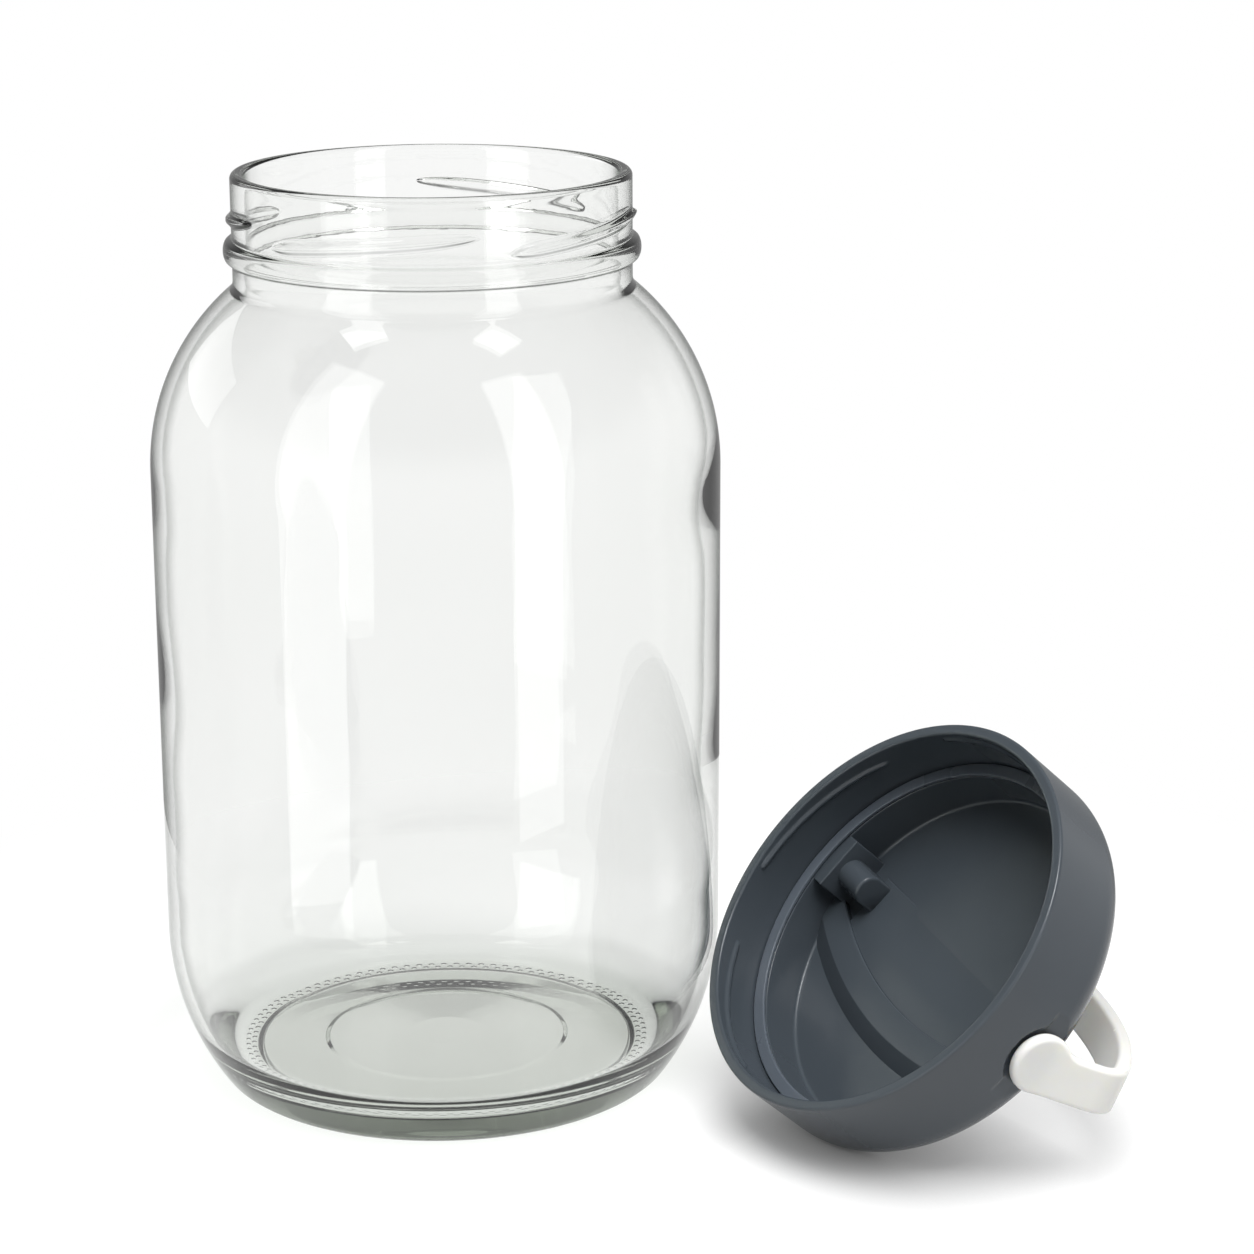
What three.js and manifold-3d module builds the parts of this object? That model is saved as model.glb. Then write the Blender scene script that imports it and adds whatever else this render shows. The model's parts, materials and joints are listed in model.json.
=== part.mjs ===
// Glass storage jar with a wide neck, its screw lid taken off and leaning on it,
// and the carry handle that swings on the lid. Millimetres, +Z up.

import * as THREE from 'three';
import { mergeVertices } from 'three/addons/utils/BufferGeometryUtils.js';
import Module from 'manifold-3d';

const degree = Math.PI / 180;

// Driving dimensions of the glass jar
const jar = {
  bodyRadius: 77.2,
  wall: 3,
  shoulderInset: 14,
  shoulderHeight: 173.4,
  heelInset: 5.5,
  heelFootRadius: 7.4,
  footInset: 19,
  footWidth: 4.2,
  footRelief: 0.9,
  pushUp: 4.5,
  stepInset: 23.7,
  stepWidth: 1.2,
  stepRise: 0.8,
  floorHeight: 9,
  innerFootRadius: 16,
};

const neck = {
  radius: 53.5,
  length: 28.56,
  wall: 3.7,
  blendRadius: 3.6,
  innerBlendRadius: 6,
  beadRadius: 55.9,
  beadDrop: 20.6,
  beadHalfHeight: 3.6,
  lipRadius: 1.5,
};

const neckLug = {
  startAngles: [-136.5, -64.5, 36, 150],
  tipRadius: 54.9,
  upperDrop: 10.3,
  lowerDrop: 15,
  height: 4.4,
  span: 62,
  rootDepth: 0.8,
};

// Driving dimensions of the lid
const lid = {
  radius: 58.5,
  height: 32,
  crownRadius: 10,
  skirtWall: 3.2,
  rimRound: 0.7,
  seatHeight: 16.8,
  innerRadius: 51.4,
  topWall: 2.2,
  cornerRadius: 0.9,
};

const lidLug = {
  count: 5,
  reach: 0.9,
  height: 2.2,
  lowerHeight: 2.4,
  upperHeight: 5.4,
  startAngle: 20,
  span: 46,
  rootDepth: 0.8,
};

// The arched band moulded into the top, as circles round one point off the lid
const band = {
  arcCentre: -94.5,
  innerRadius: 112,
  outerRadius: 120,
  skirtRadius: 125.2,
  depth: 2.6,
};

// The panel beside the band, raised less than it
const panel = {
  halfLength: 40.5,
  farSide: -6,
  depth: 1.4,
};

const pivot = {
  height: 23.5,
  pinRadius: 2.6,
  pinClearance: 0.3,
  pinEnd: 45.6,
  bossRadius: 4.5,
  bossReach: 15.3,
  boreEndClearance: 0.6,
  padHalfWidth: 8,
  padFace: 47,
  pocketFloor: 56.8,
  pocketRadius: 9.5,
  pocketSideDrop: 4.6,
};

const seal = {
  thickness: 1,
  seatClearance: 0.3,
  edgeClearance: 0.35,
};

// Driving dimensions of the handle
const handle = {
  outerHalfSpan: 60.6,
  legThickness: 3.5,
  archThickness: 4.2,
  archRadius: 90.5,
  archPeak: 50.8,
  flareAngle: 18,
  flareBendRadius: 12,
  cornerRadius: 9.5,
  innerCornerRadius: 5.6,
  width: 12.8,
  footRadius: 8.3,
  footBlendRadius: 6,
  leanAngle: 21,
};

// How the lid leans beside the jar
const pose = {
  mouthRiseAngle: 41,
  mouthTurnAngle: -147.7,
  pivotTurnAngle: -12.8,
  bearingAngle: -22.6,
  gap: 0.3,
};

// What follows from the body's radius
const shoulderRadius = jar.bodyRadius - jar.shoulderInset;
const heelRadius = jar.bodyRadius - jar.heelInset;
const footRadius = jar.bodyRadius - jar.footInset;
const stepRadius = footRadius - jar.stepInset;

const overrun = 2;
const jarSegments = 64;
const lidSegments = 72;
const boreSegments = 24;

const wasm = await Module();
wasm.setup();

// Points of a round stretch, from one angle to the other
function arc(centreX, centreY, radius, start, end, steps) {
  const points = [];
  for (let i = 0; i <= steps; i += 1) {
    const angle = start + (end - start) * i / steps;
    points.push(new THREE.Vector2(
      centreX + radius * Math.cos(angle),
      centreY + radius * Math.sin(angle),
    ));
  }
  return points;
}

function point(x, y) {
  return new THREE.Vector2(x, y);
}

// A closed turned solid round Z from an outline of radius and height
function turned(outline, segments) {
  return new THREE.LatheGeometry(outline, segments).rotateX(Math.PI / 2);
}

// A three.js geometry as a manifold solid, without the slivers at its poles
function solid(geometry) {
  const bare = new THREE.BufferGeometry();
  bare.setAttribute('position', geometry.attributes.position.clone());
  if (geometry.index) bare.setIndex(geometry.index.clone());
  const welded = mergeVertices(bare);
  const corners = welded.index.array;
  const triangles = [];
  for (let i = 0; i < corners.length; i += 3) {
    const [a, b, c] = corners.slice(i, i + 3);
    if (a !== b && b !== c && c !== a) triangles.push(a, b, c);
  }
  return new wasm.Manifold(new wasm.Mesh({
    numProp: 3,
    vertProperties: new Float32Array(welded.attributes.position.array),
    triVerts: new Uint32Array(triangles),
  }));
}

function geometryOf(shape) {
  const mesh = shape.getMesh();
  const geometry = new THREE.BufferGeometry();
  geometry.setAttribute('position', new THREE.BufferAttribute(mesh.vertProperties, 3));
  geometry.setIndex(new THREE.BufferAttribute(mesh.triVerts, 1));
  return geometry;
}

function combined(shapes) {
  return shapes.reduce((sum, shape) => sum.add(shape));
}

// A rod along X between two places
function rod(radius, from, to, segments) {
  const geometry = new THREE.CylinderGeometry(radius, radius, to - from, segments);
  return geometry.rotateZ(Math.PI / 2).translate((from + to) / 2, 0, 0);
}

function block(minimum, maximum) {
  const size = maximum.clone().sub(minimum);
  const middle = minimum.clone().add(maximum).divideScalar(2);
  return new THREE.BoxGeometry(size.x, size.y, size.z).translate(middle.x, middle.y, middle.z);
}

// A closed solid through a run of sections that have the same number of corners
function swept(sections) {
  const size = sections[0].length;
  const places = sections.flat().flatMap((corner) => corner.toArray());
  const faces = [];
  for (let i = 0; i + 1 < sections.length; i += 1) {
    for (let k = 0; k < size; k += 1) {
      const a = i * size + k;
      const b = i * size + (k + 1) % size;
      faces.push(a, b, b + size, a, b + size, a + size);
    }
  }
  const last = (sections.length - 1) * size;
  for (let k = 1; k + 1 < size; k += 1) {
    faces.push(0, k + 1, k);
    faces.push(last, last + k, last + k + 1);
  }
  const geometry = new THREE.BufferGeometry();
  geometry.setAttribute('position', new THREE.Float32BufferAttribute(places, 3));
  geometry.setIndex(faces);
  return geometry;
}

// A screw ridge that climbs round the axis, with its ends drawn down to nothing much
function ridge(rootRadius, tipRadius, height, lower, upper, startAngle, span) {
  const steps = 18;
  const tipShare = 0.45;
  const endShare = 0.3;
  const sections = [];
  const outward = Math.sign(tipRadius - rootRadius);
  for (let i = 0; i <= steps; i += 1) {
    const share = i / steps;
    const fullness = endShare + (1 - endShare) * Math.sin(Math.PI * share) ** 0.35;
    const angle = (startAngle + span * share) * degree;
    const middle = lower + (upper - lower) * share;
    const tip = rootRadius + (tipRadius - rootRadius) * fullness;
    const half = height / 2 * fullness;
    const outline = [
      [rootRadius, -half],
      [tip, -half * tipShare],
      [tip, half * tipShare],
      [rootRadius, half],
    ];
    if (outward > 0) outline.reverse();
    sections.push(outline.map(([radius, rise]) => new THREE.Vector3(
      radius * Math.cos(angle),
      radius * Math.sin(angle),
      middle + rise,
    )));
  }
  return solid(swept(sections));
}

// Where the big heel arc and the small foot arc meet, and how high the heel starts
function heelPlan() {
  const centreRadius = jar.heelInset;
  const between = heelRadius - jar.heelFootRadius;
  const angle = Math.acos((footRadius - centreRadius) / between);
  const centreHeight = jar.heelFootRadius + between * Math.sin(angle);
  const innerBetween = heelRadius - jar.wall - jar.innerFootRadius;
  const innerDrop = centreHeight - jar.innerFootRadius - jar.floorHeight;
  const innerAngle = Math.asin(innerDrop / innerBetween);
  return { centreRadius, angle, centreHeight, innerBetween, innerAngle };
}

// The blend between a shoulder arc and the straight neck above it
function shoulderPlan(arcRadius, neckRadius, blendRadius) {
  const centreRadius = jar.shoulderInset;
  const across = neckRadius + blendRadius - centreRadius;
  const rise = Math.sqrt((arcRadius + blendRadius) ** 2 - across ** 2);
  return { centreRadius, angle: Math.atan2(rise, across), blendHeight: jar.shoulderHeight + rise };
}

// The jar's height, from where the straight neck starts and how long it is
function jarHeight() {
  const plan = shoulderPlan(shoulderRadius, neck.radius, neck.blendRadius);
  return plan.blendHeight + neck.length;
}

function baseOutline() {
  const footInner = footRadius - jar.footWidth;
  const reliefRadius = footInner - jar.footRelief;
  return [
    point(0, jar.pushUp),
    point(stepRadius / 2, jar.pushUp - jar.stepRise / 2),
    point(stepRadius - jar.stepWidth, jar.pushUp - jar.stepRise),
    point(stepRadius, jar.pushUp - 2 * jar.stepRise),
    point(reliefRadius, jar.footRelief),
    point(footInner, 0),
  ];
}

function outerWallOutline() {
  const heel = heelPlan();
  const top = shoulderPlan(shoulderRadius, neck.radius, neck.blendRadius);
  const foot = arc(footRadius, jar.heelFootRadius, jar.heelFootRadius, -Math.PI / 2, -heel.angle, 4);
  const big = arc(heel.centreRadius, heel.centreHeight, heelRadius, -heel.angle, 0, 5);
  const shoulder = arc(top.centreRadius, jar.shoulderHeight, shoulderRadius, 0, top.angle, 8);
  const blendCentre = neck.radius + neck.blendRadius;
  const blend = arc(
    blendCentre, top.blendHeight, neck.blendRadius,
    top.angle + Math.PI, Math.PI, 3,
  );
  return [...foot, ...big.slice(1), ...shoulder, ...blend.slice(1)];
}

function neckOutline() {
  const points = [];
  const steps = 6;
  const beadHeight = jarHeight() - neck.beadDrop;
  for (let i = 0; i <= steps; i += 1) {
    const place = 2 * i / steps - 1;
    const swell = (1 + Math.cos(Math.PI * place)) / 2;
    points.push(point(
      neck.radius + (neck.beadRadius - neck.radius) * swell,
      beadHeight + neck.beadHalfHeight * place,
    ));
  }
  const lipHeight = jarHeight() - neck.lipRadius;
  const innerRadius = neck.radius - neck.wall;
  points.push(...arc(neck.radius - neck.lipRadius, lipHeight, neck.lipRadius, 0, Math.PI / 2, 3));
  points.push(...arc(innerRadius + neck.lipRadius, lipHeight, neck.lipRadius, Math.PI / 2, Math.PI, 3));
  return points;
}

function innerWallOutline() {
  const heel = heelPlan();
  const innerNeck = neck.radius - neck.wall;
  const innerShoulder = shoulderRadius - jar.wall;
  const top = shoulderPlan(innerShoulder, innerNeck, neck.innerBlendRadius);
  const blendCentre = innerNeck + neck.innerBlendRadius;
  const blend = arc(
    blendCentre, top.blendHeight, neck.innerBlendRadius,
    Math.PI, top.angle + Math.PI, 3,
  );
  const shoulder = arc(top.centreRadius, jar.shoulderHeight, innerShoulder, top.angle, 0, 6);
  const big = arc(
    heel.centreRadius, heel.centreHeight, heelRadius - jar.wall,
    0, -heel.innerAngle, 4,
  );
  const footCentre = heel.centreRadius + heel.innerBetween * Math.cos(heel.innerAngle);
  const foot = arc(
    footCentre, jar.floorHeight + jar.innerFootRadius, jar.innerFootRadius,
    -heel.innerAngle, -Math.PI / 2, 4,
  );
  return [...blend, ...shoulder.slice(1), ...big, ...foot.slice(1), point(0, jar.floorHeight)];
}

function glassJar() {
  const outline = [...baseOutline(), ...outerWallOutline(), ...neckOutline(), ...innerWallOutline()];
  const pieces = [solid(turned(outline, jarSegments))];
  const root = neck.radius - neckLug.rootDepth;
  for (const startAngle of neckLug.startAngles) {
    pieces.push(ridge(
      root,
      neckLug.tipRadius,
      neckLug.height,
      jarHeight() - neckLug.lowerDrop,
      jarHeight() - neckLug.upperDrop,
      startAngle,
      neckLug.span,
    ));
  }
  return geometryOf(combined(pieces));
}

function lidShellOutline() {
  const skirtInner = lid.radius - lid.skirtWall;
  const round = lid.rimRound;
  const plateHeight = lid.height - lid.topWall;
  const crownCentre = lid.radius - lid.crownRadius;
  const cornerCentre = lid.innerRadius - lid.cornerRadius;
  return [
    ...arc(skirtInner + round, round, round, -Math.PI, -Math.PI / 2, 3),
    ...arc(lid.radius - round, round, round, -Math.PI / 2, 0, 3),
    ...arc(crownCentre, lid.height - lid.crownRadius, lid.crownRadius, 0, Math.PI / 2, 7),
    point(0, lid.height),
    point(0, plateHeight),
    ...arc(cornerCentre, plateHeight - lid.cornerRadius, lid.cornerRadius, Math.PI / 2, 0, 3),
    point(lid.innerRadius, lid.seatHeight),
    point(skirtInner, lid.seatHeight),
    point(skirtInner, round),
  ];
}

// The arched band turned round its own centre, with one sloped side, from its face to another height
function bandSolid(face, foot) {
  const outline = [
    point(band.innerRadius, face),
    point(band.outerRadius, face),
    point(band.skirtRadius, face + band.depth),
    point(band.skirtRadius, foot),
    point(band.innerRadius, foot),
    point(band.innerRadius, face),
  ];
  return solid(turned(outline, 2 * lidSegments)).translate([0, band.arcCentre, 0]);
}

function roundSlice(radius, from, to) {
  const geometry = new THREE.CylinderGeometry(radius, radius, to - from, lidSegments);
  return solid(geometry.rotateX(Math.PI / 2).translate(0, 0, (from + to) / 2));
}

// One boss, its flat pad and its outside pocket, on the side that sign gives
function bossOn(side) {
  const inner = lid.innerRadius - pivot.bossReach;
  const boss = rod(pivot.bossRadius, inner, lid.innerRadius + lid.cornerRadius, boreSegments);
  const pad = block(
    new THREE.Vector3(pivot.padFace, -pivot.padHalfWidth, lid.seatHeight),
    new THREE.Vector3(lid.innerRadius, pivot.padHalfWidth, lid.height - lid.topWall / 2),
  );
  const web = block(
    new THREE.Vector3(inner, -pivot.bossRadius, pivot.height),
    new THREE.Vector3(lid.innerRadius, pivot.bossRadius, lid.height - lid.topWall / 2),
  );
  const pieces = combined([solid(boss.translate(0, 0, pivot.height)), solid(web), solid(pad)]);
  return side > 0 ? pieces : pieces.rotate([0, 0, 180]);
}

function pocketOn(side) {
  const outside = lid.radius + overrun;
  const round = rod(pivot.pocketRadius, pivot.pocketFloor, outside, 2 * boreSegments);
  const open = block(
    new THREE.Vector3(pivot.pocketFloor, -lid.radius, pivot.height - pivot.pocketSideDrop),
    new THREE.Vector3(outside, lid.radius, lid.height + overrun),
  );
  const boreEnd = pivot.pinEnd - pivot.boreEndClearance;
  const bore = rod(pivot.pinRadius + pivot.pinClearance, boreEnd, outside, boreSegments);
  const pieces = combined([
    solid(round.translate(0, 0, pivot.height)),
    solid(open),
    solid(bore.translate(0, 0, pivot.height)),
  ]);
  return side > 0 ? pieces : pieces.rotate([0, 0, 180]);
}

// The panel fills the top's underside from its straight far side to the band
function raisedPanel() {
  const midWall = lid.height - lid.topWall / 2;
  const slab = block(
    new THREE.Vector3(-panel.halfLength, panel.farSide, lid.height - lid.topWall - panel.depth),
    new THREE.Vector3(panel.halfLength, band.outerRadius + band.arcCentre, midWall),
  );
  const middleRadius = (band.innerRadius + band.outerRadius) / 2;
  const reach = roundSlice(middleRadius, 0, lid.height).translate([0, band.arcCentre, 0]);
  return solid(slab).intersect(reach);
}

function lidMoulding() {
  const plateHeight = lid.height - lid.topWall;
  const midWall = lid.height - lid.topWall / 2;
  const bandFace = plateHeight - band.depth;
  const inside = roundSlice(lid.innerRadius + lid.cornerRadius, bandFace - overrun, midWall);
  const raised = bandSolid(bandFace, midWall).intersect(inside);
  let body = solid(turned(lidShellOutline(), lidSegments)).add(raised).add(raisedPanel());
  body = body.add(bossOn(1)).add(bossOn(-1));
  body = body.subtract(bandSolid(lid.height - band.depth, lid.height + overrun));
  body = body.subtract(pocketOn(1)).subtract(pocketOn(-1));
  const root = lid.radius - lid.skirtWall + lidLug.rootDepth;
  for (let i = 0; i < lidLug.count; i += 1) {
    body = body.add(ridge(
      root,
      root - lidLug.rootDepth - lidLug.reach,
      lidLug.height,
      lidLug.lowerHeight,
      lidLug.upperHeight,
      lidLug.startAngle + 360 * i / lidLug.count,
      lidLug.span,
    ));
  }
  return geometryOf(body);
}

function sealRing() {
  const inner = lid.innerRadius;
  const outer = lid.radius - lid.skirtWall - seal.edgeClearance;
  const top = lid.seatHeight - seal.seatClearance;
  const outline = [
    point(inner, top - seal.thickness),
    point(outer, top - seal.thickness),
    point(outer, top),
    point(inner, top),
    point(inner, top - seal.thickness),
  ];
  return geometryOf(solid(turned(outline, lidSegments)));
}

// One side of the arched strap, from the right leg's foot over the arch to the left one's
function strapSide(halfSpan, bend, radius, peak, corner, foot) {
  const flare = handle.flareAngle * degree;
  const centre = peak - radius;
  const across = halfSpan + bend - (bend + corner) * Math.cos(flare);
  const rise = (bend + corner) * Math.sin(flare) - centre;
  const slant = across * Math.sin(flare) + rise * Math.cos(flare);
  const between = radius - corner;
  const run = Math.sqrt(slant ** 2 + between ** 2 - across ** 2 - rise ** 2) - slant;
  const cornerSpan = across + run * Math.sin(flare);
  const cornerHeight = centre + rise + run * Math.cos(flare);
  const turn = Math.atan2(cornerHeight - centre, cornerSpan);
  const right = [
    point(halfSpan, foot),
    ...arc(halfSpan + bend, 0, bend, Math.PI, Math.PI - flare, 3),
    ...arc(cornerSpan, cornerHeight, corner, -flare, turn, 7),
    ...arc(0, centre, radius, turn, Math.PI / 2, 10).slice(1),
  ];
  const left = right.slice(0, -1).reverse().map((spot) => point(-spot.x, spot.y));
  return [...right, ...left];
}

// The strap seen from its edge: one edge runs straight off its round foot, the other blends in
function strapOutline() {
  const narrow = handle.footRadius - handle.width;
  const blend = handle.footBlendRadius;
  const blendAcross = narrow - blend;
  const blendHeight = Math.sqrt((handle.footRadius + blend) ** 2 - blendAcross ** 2);
  const meet = Math.atan2(blendHeight, -blendAcross);
  const top = handle.archPeak + overrun;
  return [
    ...arc(0, 0, handle.footRadius, -Math.PI - meet, 0, 20),
    point(handle.footRadius, top),
    point(narrow, top),
    ...arc(blendAcross, blendHeight, blend, 0, -meet, 4).slice(0, -1),
  ];
}

function carryHandle() {
  const foot = -2 * handle.footRadius;
  const halfDepth = handle.footRadius + overrun;
  const outer = strapSide(
    handle.outerHalfSpan,
    handle.flareBendRadius,
    handle.archRadius,
    handle.archPeak,
    handle.cornerRadius,
    foot,
  );
  const inner = strapSide(
    handle.outerHalfSpan - handle.legThickness,
    handle.flareBendRadius + handle.legThickness,
    handle.archRadius - handle.archThickness,
    handle.archPeak - handle.archThickness,
    handle.innerCornerRadius,
    foot,
  );
  const strap = new THREE.ExtrudeGeometry(
    new THREE.Shape([...outer, ...inner.reverse()]),
    { depth: 2 * halfDepth, bevelEnabled: false },
  );
  strap.rotateX(Math.PI / 2).translate(0, halfDepth, 0);
  const reach = handle.archRadius;
  const side = new THREE.ExtrudeGeometry(
    new THREE.Shape(strapOutline()),
    { depth: 2 * reach, bevelEnabled: false },
  );
  side.translate(0, 0, -reach).applyMatrix4(new THREE.Matrix4().makeBasis(
    new THREE.Vector3(0, 1, 0),
    new THREE.Vector3(0, 0, 1),
    new THREE.Vector3(1, 0, 0),
  ));
  const pinStart = handle.outerHalfSpan - handle.legThickness / 2;
  const rightPin = rod(pivot.pinRadius, pivot.pinEnd, pinStart, boreSegments);
  const leftPin = rod(pivot.pinRadius, -pinStart, -pivot.pinEnd, boreSegments);
  return geometryOf(combined([
    solid(strap).intersect(solid(side)),
    solid(rightPin),
    solid(leftPin),
  ]));
}

// The lid's axes where it leans, from the way that its mouth faces
function lidBasis() {
  const rise = pose.mouthRiseAngle * degree;
  const turn = pose.mouthTurnAngle * degree;
  const out = new THREE.Vector3(
    Math.cos(rise) * Math.cos(turn),
    Math.cos(rise) * Math.sin(turn),
    Math.sin(rise),
  );
  const level = new THREE.Vector3(0, 0, 1).cross(out).normalize();
  const across = level.clone().applyAxisAngle(out, pose.pivotTurnAngle * degree);
  const up = out.clone().negate();
  return new THREE.Matrix4().makeBasis(across, up.clone().cross(across), up);
}

// How high the lid's mouth stands when its crown rests on the ground
function lidMouthHeight() {
  const rise = pose.mouthRiseAngle * degree;
  const crownCircle = (lid.radius - lid.crownRadius) * Math.cos(rise);
  return lid.crownRadius + crownCircle + (lid.height - lid.crownRadius) * Math.sin(rise);
}

// How near the lid's rounded rim comes to the jar's axis, for a lid at this distance
function rimApproach(distance, basis) {
  const steps = 720;
  const bearing = pose.bearingAngle * degree;
  let nearest = Infinity;
  for (let i = 0; i < steps; i += 1) {
    const angle = 2 * Math.PI * i / steps;
    const place = new THREE.Vector3(Math.cos(angle), Math.sin(angle), 0);
    place.multiplyScalar(lid.radius - lid.rimRound).setZ(lid.rimRound).applyMatrix4(basis);
    place.x += distance * Math.cos(bearing);
    place.y += distance * Math.sin(bearing);
    nearest = Math.min(nearest, Math.hypot(place.x, place.y) - lid.rimRound);
  }
  return nearest;
}

// The distance at which the rim leans on the jar with the gap left between them
function leanDistance(basis) {
  let near = jar.bodyRadius;
  let far = 2 * (jar.bodyRadius + lid.radius);
  for (let i = 0; i < 60; i += 1) {
    const middle = (near + far) / 2;
    if (rimApproach(middle, basis) < jar.bodyRadius + pose.gap) near = middle;
    else far = middle;
  }
  return far;
}

function named(name, geometry, material) {
  const mesh = new THREE.Mesh(geometry, material);
  mesh.name = name;
  return mesh;
}

function clearGlass() {
  return new THREE.MeshStandardMaterial({
    color: 0xdfe8e4, roughness: 0.04, metalness: 0, transparent: true, opacity: 0.35,
  });
}

function slatePlastic() {
  return new THREE.MeshStandardMaterial({ color: 0x4a525b, roughness: 0.38, metalness: 0 });
}

function sealPlastic() {
  return new THREE.MeshStandardMaterial({ color: 0x6a737c, roughness: 0.5, metalness: 0 });
}

function whitePlastic() {
  return new THREE.MeshStandardMaterial({ color: 0xf1efe9, roughness: 0.25, metalness: 0 });
}

function lidGroup() {
  const basis = lidBasis();
  const bearing = pose.bearingAngle * degree;
  const distance = leanDistance(basis);
  const group = new THREE.Group();
  group.setRotationFromMatrix(basis);
  group.position.set(distance * Math.cos(bearing), distance * Math.sin(bearing), lidMouthHeight());
  group.add(named('lid_moulding', lidMoulding(), slatePlastic()));
  group.add(named('seal_ring', sealRing(), sealPlastic()));
  const swing = new THREE.Group();
  swing.position.set(0, 0, pivot.height);
  swing.rotation.set(handle.leanAngle * degree, 0, 0);
  swing.add(named('carry_handle', carryHandle(), whitePlastic()));
  group.add(swing);
  return group;
}

// The whole object, moved so that the middle of its footprint is at the origin
function storageJar() {
  const whole = new THREE.Group();
  whole.add(named('glass_jar', glassJar(), clearGlass()));
  whole.add(lidGroup());
  whole.updateMatrixWorld(true);
  const bounds = new THREE.Box3().setFromObject(whole, true);
  const middle = bounds.getCenter(new THREE.Vector3());
  whole.position.set(-middle.x, -middle.y, -bounds.min.z);
  const root = new THREE.Group();
  root.add(whole);
  return root;
}

export default storageJar();
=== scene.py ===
# Glass storage jar, its screw lid leaning beside it, and the carry handle that swings on the lid.
# Sizes are in millimetres in this file and turned into metres when a piece is made.
import json
import math
from types import SimpleNamespace

import bmesh
import bpy
import numpy as np
from mathutils import Matrix, Vector


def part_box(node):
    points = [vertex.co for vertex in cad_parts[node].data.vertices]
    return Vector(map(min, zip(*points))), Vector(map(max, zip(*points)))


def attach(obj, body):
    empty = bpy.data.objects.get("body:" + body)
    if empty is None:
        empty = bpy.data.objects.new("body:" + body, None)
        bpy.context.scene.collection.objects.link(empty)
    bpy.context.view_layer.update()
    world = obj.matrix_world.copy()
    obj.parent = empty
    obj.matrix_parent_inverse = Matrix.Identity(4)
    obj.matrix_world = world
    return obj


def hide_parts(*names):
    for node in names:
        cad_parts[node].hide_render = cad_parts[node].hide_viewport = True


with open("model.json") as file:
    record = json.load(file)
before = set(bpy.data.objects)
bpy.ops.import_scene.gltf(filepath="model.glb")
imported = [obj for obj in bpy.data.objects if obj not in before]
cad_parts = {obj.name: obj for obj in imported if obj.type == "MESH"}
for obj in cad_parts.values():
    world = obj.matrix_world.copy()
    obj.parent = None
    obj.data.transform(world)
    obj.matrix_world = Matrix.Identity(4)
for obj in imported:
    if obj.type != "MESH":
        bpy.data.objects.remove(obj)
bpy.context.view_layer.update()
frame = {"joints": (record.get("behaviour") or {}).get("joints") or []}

MILLIMETRE = 0.001
# How far a raised form reaches into the piece that carries it
HIDDEN = 0.8
# The least rise or rounding that keeps two points of an outline apart
SLIVER = 0.01
# Points closer than this are one point, and a length below the next counts as none
SAME_POINT = 1e-5
NO_LENGTH = 1e-6

jar = SimpleNamespace(
    body_radius=77.2, wall=3.0, shoulder_radius=63.2, shoulder_height=173.4,
    heel_radius=71.7, heel_foot_radius=7.4, foot_radius=58.2, foot_width=4.2,
    foot_relief=0.9, push_up=4.5, step_radius=34.5, step_width=1.2, step_rise=0.8,
    flat_radius=10.0, base_roundings=(8.0, 0.5, 0.5, 1.2, 0.6),
    floor_height=9.0, inner_foot_radius=16.0,
)
neck = SimpleNamespace(
    radius=53.5, length=28.56, wall=3.7, blend_radius=3.6, inner_blend_radius=6.0,
    bead_radius=55.85, bead_drop=20.6, bead_half_height=3.4, bead_fullness=2.2,
    bead_side_share=0.3, lip_radius=1.5, smooth_within=0.05,
)
neck_lug = SimpleNamespace(
    start_angles=(-136.5, -64.5, 36.0, 150.0), span=62.0, reach=1.35, half_height=2.3,
    upper_drop=10.3, lower_drop=15.0, blunt_share=0.16, long_share=0.34, side_share=0.85,
)
# How the blown wall is thicker between shoulder and heel, in a plateau, two crests and slow lobes
ripple = SimpleNamespace(
    low=58.0, high=184.0, fade=30.0, depth=0.8, depth_side=0.25,
    upper_height=160.0, upper_length=13.0, upper_depth=0.08, upper_side=0.2,
    lower_height=88.0, lower_length=15.0, lower_depth=0.14, lower_side=0.4,
    lobe_depth=0.13, lobe_length=52.0, lobe_swing=1.3, lobe_start=0.6,
    cross_share=0.6, cross_length=21.0,
)
lid = SimpleNamespace(
    radius=58.44, height=32.0, crown_radius=10.0, skirt_wall=3.2, rim_round=0.75,
    seat_height=16.8, inner_radius=51.4, top_wall=2.2, corner_radius=0.9, seat_round=0.35,
    smooth_within=0.02,
)
lid_thread = SimpleNamespace(
    start_angles=(20.0, 92.0, 164.0, 236.0, 308.0), span=50.0, reach=0.7, half_height=1.15,
    lower_height=2.6, upper_height=5.6, blunt_share=0.06, long_share=0.1, side_share=0.8,
)
band = SimpleNamespace(
    arc_centre=-94.5, inner_radius=112.0, outer_radius=120.0, skirt_radius=125.2,
    depth=2.6, edge_round=0.4, end_radius=54.0,
)
panel = SimpleNamespace(
    half_length=40.5, far_side=-6.0, near_side=20.0, depth=1.4, edge_round=0.45,
    sharp_length=20.0, sink_length=18.0, sink_share=1.05,
)
pivot = SimpleNamespace(
    height=23.5, pin_radius=2.6, pin_end=45.6, pin_chamfer=0.5, boss_radius=4.5,
    boss_reach=15.3, boss_round=0.9, boss_nose=2.0, pad_half_width=8.0, pad_face=47.0,
    pad_lift=0.05, pad_round=0.4, pocket_floor=56.8, pocket_radius=9.5,
    pocket_side_drop=4.6, pocket_edge=0.9,
)
seal = SimpleNamespace(thickness=1.0, seat_clearance=0.3, edge_clearance=0.35, edge_round=0.25)
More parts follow.
